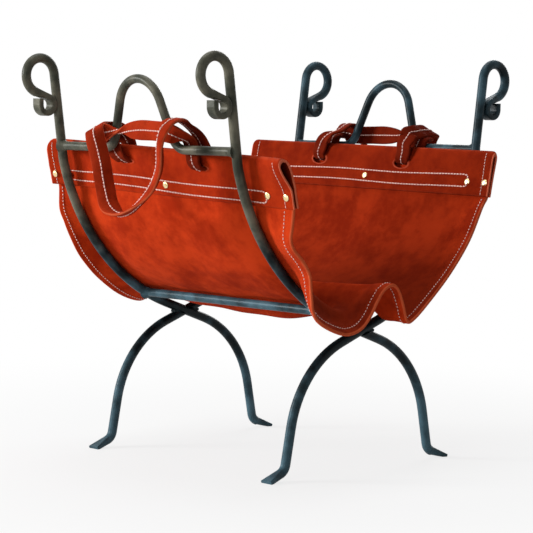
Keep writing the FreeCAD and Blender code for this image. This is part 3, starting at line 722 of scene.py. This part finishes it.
end_rivets = {"near": (5 * mm, 8 * mm), "far": (7 * mm, 5 * mm)}
rivet_insets = {"near": (25 * mm, 39 * mm), "far": (35 * mm, 34.6 * mm)}
middle_rivets = {"near": 13 * mm, "far": -6 * mm}
box_insets = {"near": (20 * mm, 44 * mm), "far": (42 * mm, 37 * mm)}
end_seams = {"near": (6 * mm, 11 * mm), "far": (11 * mm, 9 * mm)}
for side_name in ("near", "far"):
    band = make_band(side_name)
    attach(band, "carrier")
    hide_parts(f"{side_name}_top_band")
    first, last = side_ends(side_name)
    left_inset, right_inset = box_insets[side_name]
    box_runs = [box_run(side_name, first + left_inset, last - right_inset, sign) for sign in (1, -1)]
    seam = sewn(f"{side_name}_strip_thread", box_runs, 5.0 * mm, 4.5 * mm, 0.95 * mm)
    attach(seam, "carrier")
    left_seam, right_seam = end_seams[side_name]
    end_runs = [end_run(side_name, x, s) for x in (first + left_seam, last - right_seam) for s in (1, -1)]
    tack = sewn(f"{side_name}_strip_end_thread", end_runs, 4.0 * mm, 3.4 * mm, 0.6 * mm)
    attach(tack, "carrier")


# Rivets. Five cap rivets of pale, bright brass through each strip, the end ones into the hems: a domed cap
# outside, and a post closed with a second, flatter dome inside.
brass, place, shader = new_finish("pale_brass")
tarnish = place.noise(420, 3)
feed(
    shader,
    Base_Color=tarnish.between(0.35, 0.7).mix((0.80, 0.60, 0.27), (0.93, 0.80, 0.50)),
    Metallic=1.0,
    Roughness=tarnish * 0.2 + 0.16,
    Normal=tarnish.bump(0.15, 0.3 * mm),
)
rivet_depths = {"near": 46 * mm, "far": 42.5 * mm}
cap_radius = 4.5 * mm
cap_height = 2.2 * mm
back_radius = 4.2 * mm
back_height = 1.5 * mm


def domes(side_name, sign, radius, height):
    """Caps on one face of a strip: a quarter ellipse turned round each rivet's axis, with a rolled rim."""
    first, last = side_ends(side_name)
    left, right = rivet_insets[side_name]
    middle = middle_rivets[side_name]
    left_end, right_end = end_rivets[side_name]
    x = np.array([first + left_end, first + left, middle, last - right, last - right_end])
    seat = sign * (fold_half + leather_half - 0.1 * mm)
    roots = band_places(side_name, x, np.full(5, seat), np.full(5, rivet_depths[side_name]))
    side = band_sides[side_name]
    out = np.array([0, sign * side * panel_out[0], sign * panel_out[1]])
    along = np.array([1.0, 0, 0])
    aside = np.cross(out, along)
    rise = np.linspace(0, math.pi / 2, 9)
    reach = np.concatenate([[0.86, 0.97], np.cos(rise[:-1]), [0.02]]) * radius
    lift = np.concatenate([[0, 0.02], 0.25 + 0.75 * np.sin(rise)]) * height
    spokes = 24
    turn = np.arange(spokes) * 2 * math.pi / spokes
    spin = np.cos(turn)[:, None] * along + np.sin(turn)[:, None] * aside
    points = roots[:, None, None] + lift[None, :, None, None] * out + reach[None, :, None, None] * spin
    index = np.arange(points.size // 3).reshape(points.shape[:3])
    nextward = np.roll(index, -1, 2)
    skin = np.stack([index[:, :-1], index[:, 1:], nextward[:, 1:], nextward[:, :-1]], -1).reshape(-1, 4)
    fan = np.arange(1, spokes - 1)

    def lid(ring, ahead, behind):
        """Fan of triangles that closes a ring."""
        corners = [ring[:, :1] + 0 * fan, ring[:, ahead], ring[:, behind], ring[:, behind]]
        return np.stack(corners, -1).reshape(-1, 4)

    lids = [lid(index[:, 0], fan, fan + 1), lid(index[:, -1], fan + 1, fan)]
    return points.reshape(-1, 3), np.concatenate([skin] + lids)


for side_name in ("near", "far"):
    caps = new_piece(f"{side_name}_caps", *domes(side_name, 1, cap_radius, cap_height), brass)
    backs = new_piece(f"{side_name}_backs", *domes(side_name, -1, back_radius, back_height), brass)
    for piece, node in ((caps, f"{side_name}_rivet_caps"), (backs, f"{side_name}_rivet_posts")):
        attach(piece, "carrier")
        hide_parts(node)


# Strap handles. Each is one closed ring of doubled suede, 24 mm wide, sewn along its middle. It comes out
# of one hole, goes up behind the rail and over it, crosses in front of the steel handle, goes back over the
# rail and in at the other hole, climbs the inside and hangs down outside as the grip.
strap_half = np.array([12, 2.2]) * mm
strap_crown = 4.5 * mm
ring_steps = 480
section_points = 28
strap_red = (0.36, 0.028, 0.006)
strap_deep = (0.21, 0.013, 0.002)
strap_pale = (0.48, 0.09, 0.035)
strap_suede = suede_finish("strap_suede", strap_red, strap_deep, strap_pale, 0.42)

# Sag of the stretch along the rail and slip of the two legs, in mm
strap_slack = {"near": (0, 0, 0), "far": (8, 8, 14)}


def ring_stations(inner, inner_z, outer, outer_z):
    """Listed stations of a ring: along, out and up in mm, the width's direction and its share."""
    return np.array([
        (outer, 193, outer_z - 1, 1, 0, 0, 0.85), (outer - 1, 199, outer_z + 0.5, 1, 0, 0, 0.85),
        (outer - 3, 202.7, outer_z + 6, 1, 0, 0, 0.9), (outer - 5, 203, outer_z + 16, 1, 0, 0, 0.95),
        (outer - 6.5, 203.6, 402, 1, 0, 0, 1), (outer - 7, 207, 408.6, 1, 0, 0.05, 1),
        (outer - 7, 213.5, 411, 1, 0, 0.25, 1), (outer - 8, 221, 413, 0.85, 0.1, 0.55, 1),
        (outer - 12, 227.5, 415.5, 0.45, 0.15, 0.9, 1), (outer - 21, 230.7, 418, 0.1, 0, 1, 1),
        (40, 231, 419.5, 0, 0, 1, 1), (12, 231, 419.8, 0, 0.05, 1, 1),
        (-9, 230.5, 418.6, 0, 0.4, 0.92, 0.75),
        (-18, 230.7, 418, 0, 0.8, 0.6, 0.48), (-25, 231, 417.6, 0, 1, 0, 0.36),
        (-32, 231, 417, 0, 0.8, -0.6, 0.42), (-40, 231, 416.4, 0, 0.4, -0.92, 0.62),
        (-48, 231.3, 416, -0.2, 0.1, -0.97, 0.85), (-55, 231, 415.5, -0.45, 0, -0.9, 1),
        (-62, 228.5, 415, -0.7, 0.1, -0.7, 1), (-68, 223, 414, -0.85, 0.1, -0.5, 1),
        (-72, 216, 412.7, -0.87, 0.05, -0.48, 1), (-73, 210, 411.2, -0.88, 0, -0.47, 1),
        (-73.5, 205, 408, -0.93, 0, -0.35, 1),
        (-72, 203.2, 402, -0.97, 0, -0.2, 1), (-68, 203, 395, -1, 0, -0.1, 0.97),
        (inner - 8, 202.8, 389, -1, 0, 0, 0.92), (inner - 2, 200, inner_z + 3, -1, 0, 0, 0.85),
        (inner, 194, inner_z + 0.5, -1, 0, 0, 0.85), (inner, 187, inner_z + 0.3, -1, 0, 0, 0.85),
        (inner - 2.5, 183.6, inner_z + 5, -1, 0, 0, 0.9), (inner - 6, 183, inner_z + 15, -1, 0, 0, 0.97),
        (-64, 183.4, 403, -0.97, 0, -0.2, 1), (-70, 185.5, 411.5, -0.85, 0.1, -0.45, 1),
        (-78, 189.5, 418, -0.75, 0.2, -0.6, 1), (-81.5, 196, 419, -0.72, 0.3, -0.62, 1),
        (-83, 205, 420.5, -0.7, 0.35, -0.62, 1), (-80.5, 214, 421, -0.7, 0.35, -0.62, 1),
        (-69, 231, 421.3, -0.72, 0.4, -0.55, 1), (-60, 241, 420, -0.76, 0.45, -0.4, 1),
        (-53, 248, 417, -0.78, 0.52, -0.3, 1), (-47.5, 252, 412, -0.76, 0.62, -0.25, 1),
        (-43, 253.5, 405, -0.73, 0.68, -0.2, 1), (-34, 253.5, 383, -0.7, 0.7, -0.2, 1),
        (-25, 253.5, 351, -0.68, 0.72, -0.25, 1), (-11.5, 257, 328, -0.5, 0.85, -0.3, 1),
        (5, 258.5, 318.5, 0, 1, 0, 1), (21, 258.5, 320, 0.2, 0.97, 0, 1),
        (37.5, 257, 328.5, 0.4, 0.9, -0.1, 1), (64, 253.5, 352, 0.62, 0.75, -0.2, 1),
        (77, 253.5, 376, 0.68, 0.72, -0.15, 1), (78, 253.5, 402, 0.75, 0.65, -0.1, 1),
        (80, 253, 415, 0.85, 0.5, -0.05, 1), (outer - 2, 250, 424, 1, 0.2, 0, 1),
        (outer - 2, 244, 429.5, 1, 0, 0, 1), (outer - 5, 235, 432, 1, 0, 0, 1),
        (outer - 12, 222, 433, 1, 0, 0, 1), (outer - 18, 207, 430.5, 1, 0, -0.15, 1),
        (outer - 17, 198, 425, 1, 0, -0.25, 1), (outer - 11, 191, 416, 1, 0, -0.25, 1),
        (outer - 5.5, 186.5, 404, 1, 0, -0.15, 1), (outer - 1.5, 184, 392, 1, 0, 0, 0.95),
        (outer, 183.5, outer_z + 8, 1, 0, 0, 0.9), (outer, 186.5, outer_z + 0.5, 1, 0, 0, 0.85),
    ], float)


def ring_frames(side_name, count):
    """Middle, width and face directions of a ring at even steps round its closed smooth path."""
    side = band_sides[side_name]
    holes = np.array(strap_holes[side_name])
    inner, outer = -side * holes / mm
    inner_z, outer_z = panel_points(side_name, holes, hole_depth)[:, 1] / mm
    rows = ring_stations(inner, inner_z, outer, outer_z)
    sag, outer_slip, inner_slip = strap_slack[side_name]
    along, _, up = rows[:, :3].T.copy()
    rows[:, 2] -= sag * (0.3 + 0.7 * smooth(along, -75, -15)) * smooth(up, 412, 420)
    slip = outer_slip * smooth(along, 30, 70) - inner_slip * smooth(-along, 62, 82)
    rows[:, 0] -= slip * smooth(up, 408, 422)
    looped = np.concatenate([rows[-3:], rows, rows[:4]])
    jumps = np.linalg.norm(np.diff(looped[:, :3], axis=0), axis=1) ** 0.75
    knots = np.concatenate([[0], np.cumsum(jumps)])
    at = np.linspace(knots[3], knots[3 + len(rows)], count, endpoint=False)
    found = through(knots, looped, at)
    turn = np.array([-side, side, 1.0])
    middle = found[:, :3] * turn * mm
    width = found[:, 3:6] * turn
    ahead = np.roll(middle, -1, 0) - np.roll(middle, 1, 0)
    ahead = ahead / np.linalg.norm(ahead, axis=1, keepdims=True)
    face = np.cross(ahead, width)
    face = face / np.linalg.norm(face, axis=1, keepdims=True)
    width = np.cross(face, ahead)
    return middle, width, face, found[:, 6]


def strap_section(count):
    """Across a doubled strap: a box with round sides, as (width, thickness) shares of its halves."""
    turn = np.arange(count) * 2 * math.pi / count
    wide = np.sign(np.cos(turn)) * np.abs(np.cos(turn)) ** 0.35
    thick = np.sign(np.sin(turn)) * np.abs(np.sin(turn)) ** 0.6
    return wide, thick


for side_name in ("near", "far"):
    middle, width, face, share = ring_frames(side_name, ring_steps)
    wide, thick = strap_section(section_points)
    spread = width[:, None] * wide[None, :, None] * strap_half[0] * share[:, None, None]
    crown = strap_crown * smooth(np.abs(middle[:, 1]), 246 * mm, 253 * mm)
    crown = crown * smooth(middle[:, 2], 322 * mm, 352 * mm)
    lift = thick * strap_half[1] + crown[:, None] * (np.abs(wide) ** 1.2 - 0.45)
    points = middle[:, None] + spread + face[:, None] * lift[..., None]
    index = np.arange(points.size // 3).reshape(points.shape[:2])
    ahead = np.roll(index, -1, 0)
    cells = np.stack([index, ahead, np.roll(ahead, -1, 1), np.roll(index, -1, 1)], -1).reshape(-1, 4)
    rub = np.tile(0.75 * smooth(np.abs(wide), 0.93, 1), (len(middle), 1)).ravel()
    # Painted shade on the parts inside the rack, on the whole far strap, and on the grip's left leg, which
    # turns away from the light
    outside = smooth(-points[..., 1], 240 * mm, 250 * mm)
    grip_shade = 0.5 * (1 - smooth(points[..., 0], -40 * mm, -5 * mm)) * outside
    painted_shade = np.maximum(1 - smooth(-points[..., 1], 204 * mm, 222 * mm), grip_shade)
    painted_shade = np.maximum(painted_shade, side_name == "far").ravel()
    marks = {"wear": rub * (1 - 0.6 * painted_shade), "inside": painted_shade}
    strap = new_piece(f"{side_name}_strap", points.reshape(-1, 3), cells, strap_suede, marks)
    seam_runs = []
    for sign in (1, -1):
        path = middle + face * (sign * strap_half[1] - 0.45 * crown)[:, None]
        seam_runs.append((np.concatenate([path, path[:1]]), np.concatenate([face, face[:1]]) * sign))
    seam = sewn(f"{side_name}_strap_thread", seam_runs, 4.6 * mm, 4.2 * mm, 0.85 * mm)
    for piece in (strap, seam):
        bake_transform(piece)
    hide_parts(f"{side_name}_strap_root", f"{side_name}_handle_grip")


# Floor, light and camera. A white sweep under four soft studio lamps, seen past the near right corner from
# about the height of the top rails, with a long lens.
def seen_rays(tree):
    """1 for rays that the camera sees, straight or by a mirror or glass, and 0 for other rays."""
    rays = tree.nodes.new("ShaderNodeLightPath").outputs
    seen = Paint(tree, rays["Is Camera Ray"])
    for name in ("Is Glossy Ray", "Is Transmission Ray"):
        seen = seen + Paint(tree, rays[name])
    return seen


shadow_share = 0.22
floor_span = 12.0


def stage_floor():
    """A wide floor that fades to plain white away from the rack."""
    material, place, shader = new_finish("white_floor")
    tree = material.node_tree
    feed(shader, Base_Color=(0.62, 0.62, 0.62, 1), Roughness=0.9, Specular_IOR_Level=0.0)
    seen = seen_rays(tree)
    distance = place.node("ShaderNodeVectorMath", {"operation": "LENGTH"}, {0: place}, 1)
    glow = tree.nodes.new("ShaderNodeEmission")
    glow.inputs["Color"].default_value = (1, 1, 1, 1)
    glow.inputs["Strength"].default_value = 1.0
    blend = tree.nodes.new("ShaderNodeMixShader")
    shown = seen * (distance.between(0.2, 1.1) * shadow_share + (1 - shadow_share))
    tree.links.new(shown.socket, blend.inputs[0])
    tree.links.new(shader.outputs[0], blend.inputs[1])
    tree.links.new(glow.outputs[0], blend.inputs[2])
    tree.links.new(blend.outputs[0], tree.nodes["Material Output"].inputs[0])
    span = floor_span
    corners = [(-span, -span, 0), (span, -span, 0), (span, span, 0), (-span, span, 0)]
    mesh = bpy.data.meshes.new("floor")
    mesh.from_pydata(corners, [], [(0, 1, 2, 3)])
    mesh.materials.append(material)
    floor = bpy.data.objects.new("floor", mesh)
    bpy.context.collection.objects.link(floor)


stage_floor()

world = bpy.data.worlds.new("white_room")
bpy.context.scene.world = world
world.use_nodes = True
tree = world.node_tree
room_light = 0.13
level = seen_rays(tree) * (1 - room_light) + room_light
tree.links.new(level.socket, tree.nodes["Background"].inputs["Strength"])
tree.nodes["Background"].inputs["Color"].default_value = (1, 1, 1, 1)


rack_middle = Vector((0, 0, 0.25))


def lamp(name, place, size, power):
    """A square soft lamp aimed at the middle of the rack."""
    data = bpy.data.lights.new(name, "AREA")
    data.size = size
    data.energy = power
    lit = bpy.data.objects.new(name, data)
    lit.location = place
    lit.rotation_euler = (rack_middle - Vector(place)).to_track_quat("-Z", "Y").to_euler()
    bpy.context.collection.objects.link(lit)


lamp("key", (-1.7, -2.0, 1.0), 0.8, 80)
lamp("fill", (0.9, -2.5, 0.9), 1.2, 15)
lamp("top", (-0.3, 0.0, 2.4), 1.4, 26)
lamp("back", (-1.2, 2.2, 1.3), 1.4, 32)

picture = 533
focal = 2094.371
azimuth = math.radians(46.62187)
elevation = math.radians(4.47798)
roll = math.radians(0.63895)
distance = 2.714018
target = Vector((-0.0023963, -0.0025410, 0.2430022))
back = Vector((
    math.sin(azimuth) * math.cos(elevation),
    -math.cos(azimuth) * math.cos(elevation),
    math.sin(elevation),
))
level_right = Vector((math.cos(azimuth), math.sin(azimuth), 0))
level_up = back.cross(level_right)
right = math.cos(roll) * level_right + math.sin(roll) * level_up
up = -math.sin(roll) * level_right + math.cos(roll) * level_up
lens = bpy.data.cameras.new("camera")
lens.sensor_width = 36
lens.lens = focal / picture * lens.sensor_width
camera = bpy.data.objects.new("camera", lens)
turned = Matrix((right, up, back)).transposed().to_4x4()
camera.matrix_world = Matrix.Translation(target + back * distance) @ turned
bpy.context.collection.objects.link(camera)
bpy.context.scene.camera = camera
bpy.context.scene.view_settings.view_transform = "Standard"
